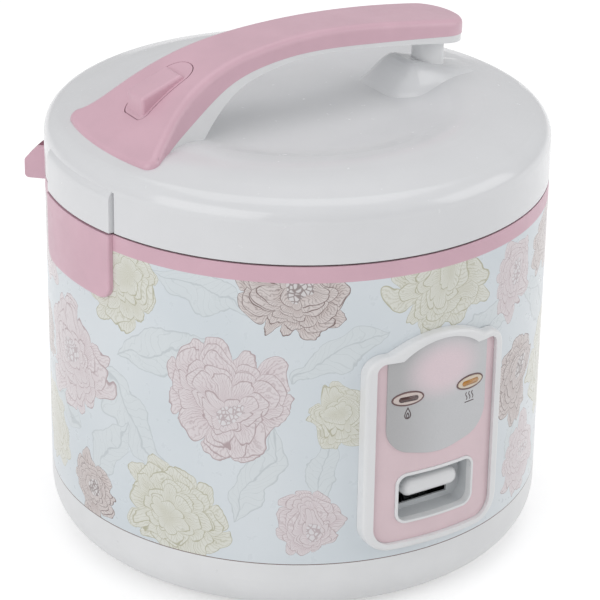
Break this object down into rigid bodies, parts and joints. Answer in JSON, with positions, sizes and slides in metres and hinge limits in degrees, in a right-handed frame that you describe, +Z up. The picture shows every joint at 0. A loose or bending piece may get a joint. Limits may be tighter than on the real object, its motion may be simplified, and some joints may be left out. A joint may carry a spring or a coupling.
{
  "type": "rice cooker",
  "caption": "Round electric rice cooker with a hinged domed lid, a carrying handle with a lid-release button, a front panel with a cook lever and lamps, and an inner pot.",
  "frame": {"origin": "on the floor, under the middle of the body, at the underside of the feet", "axes": "+Z up along the body's axis, the control panel faces -Y, the lid latch is at -X and the lid hinge at +X"},
  "size_m": [0.267, 0.2674, 0.2734],
  "materials": {
    "white_plastic": "glossy moulded white",
    "pink_plastic": "satin moulded pink",
    "printed_steel": "pale lacquered sheet with a floral print",
    "grey_badge": "satin light grey plate",
    "dark_plastic": "dark moulded plastic",
    "grey_plastic": "light grey moulded plastic",
    "steel": "bright sheet and wire",
    "screws": "plated screws",
    "dark_steel": "heat-darkened sheath",
    "aluminium": "satin aluminium",
    "non_stick": "dark grey non-stick coating on aluminium",
    "ferrite": "dark ferrite",
    "rubber_feet": "pale rubber",
    "silicone": "translucent pale silicone",
    "red_lens": "clear red",
    "amber_lens": "clear amber",
    "lamp_glass": "clear",
    "brass": "bright"
  },
  "bodies": {
    "body": {"base_housing": "white_plastic", "panel_frame": "white_plastic", "window_bezel": "white_plastic", "lever_well": "white_plastic", "middle_ring": "pink_plastic", "latch_block": "pink_plastic", "hinge_block": "pink_plastic", "paddle_holder": "pink_plastic", "panel_face": "pink_plastic", "body_sleeve": "printed_steel", "panel_badge": "grey_badge", "microswitch": "dark_plastic", "power_inlet": "dark_plastic", "lamp_rings": "dark_plastic", "bottom_plate": "steel", "lever_bracket": "steel", "lever_pin": "steel", "hinge_pin": "steel", "latch_keeper": "steel", "thermostat_cup": "steel", "thermostat_spring": "steel", "lever_spring": "steel", "base_screws": "screws", "liner_screws": "screws", "heating_element": "dark_steel", "inner_liner": "aluminium", "heating_plate": "aluminium", "plate_legs": "aluminium", "rubber_feet": "rubber_feet", "cook_lamp_lens": "red_lens", "warm_lamp_lens": "amber_lens", "neon_lamps": "lamp_glass", "inlet_pins": "brass"},
    "lid": {"lid_shell": "white_plastic", "lid_inner_frame": "white_plastic", "inner_lid_plate": "aluminium", "lid_gasket": "silicone", "plate_knob": "grey_plastic", "steam_vent_cap": "white_plastic", "vent_gasket": "silicone", "handle_upper": "pink_plastic", "handle_lower": "white_plastic", "handle_screws": "screws", "latch_pin": "steel", "button_spring": "steel"},
    "button": {"release_button": "pink_plastic"},
    "latch": {"latch_hook": "grey_plastic"},
    "lever": {"cook_lever": "steel", "lever_knob": "white_plastic"},
    "magnet": {"thermostat_magnet": "ferrite"},
    "thermostat": {"thermostat_can": "aluminium"},
    "pot": {"inner_pot": "non_stick"}
  },
  "joints": [
    {"name": "lid_hinge", "type": "hinge", "parent": "body", "child": "lid", "pos_m": [0.131, 0, 0.194], "axis": [0, 1, 0], "range_deg": [0, 88]},
    {"name": "button_press", "type": "slide", "parent": "lid", "child": "button", "axis": [0, 0, -1], "range_m": [0, 0.0044], "stiffness_N_per_m": 600, "springref_m": -0.003, "deforming": ["button_spring"]},
    {"name": "latch_turn", "type": "hinge", "parent": "lid", "child": "latch", "pos_m": [-0.12, 0, 0.213], "axis": [0, 1, 0], "range_deg": [0, 6.48]},
    {"name": "cook_lever_press", "type": "hinge", "parent": "body", "child": "lever", "pos_m": [0, -0.045, 0.043], "axis": [1, 0, 0], "range_deg": [0, 6], "stiffness_Nm_per_rad": 0.6, "springref_deg": -5.73, "deforming": ["lever_spring"]},
    {"name": "magnet_lift", "type": "slide", "parent": "body", "child": "magnet", "axis": [0, 0, 1], "range_m": [0, 0.00501]},
    {"name": "thermostat_press", "type": "slide", "parent": "body", "child": "thermostat", "axis": [0, 0, -1], "range_m": [0, 0.002], "stiffness_N_per_m": 800, "springref_m": -0.002, "deforming": ["thermostat_spring"]},
    {"name": "pot_turn", "type": "hinge", "parent": "body", "child": "pot", "pos_m": [0, 0, 0.0723], "axis": [0, 0, 1], "continuous": true}
  ],
  "couplings": [
    {"joint": "latch_turn", "follows": "button_press", "rad_per_m": 25.663},
    {"joint": "magnet_lift", "follows": "cook_lever_press", "m_per_rad": 0.047746}
  ]
}
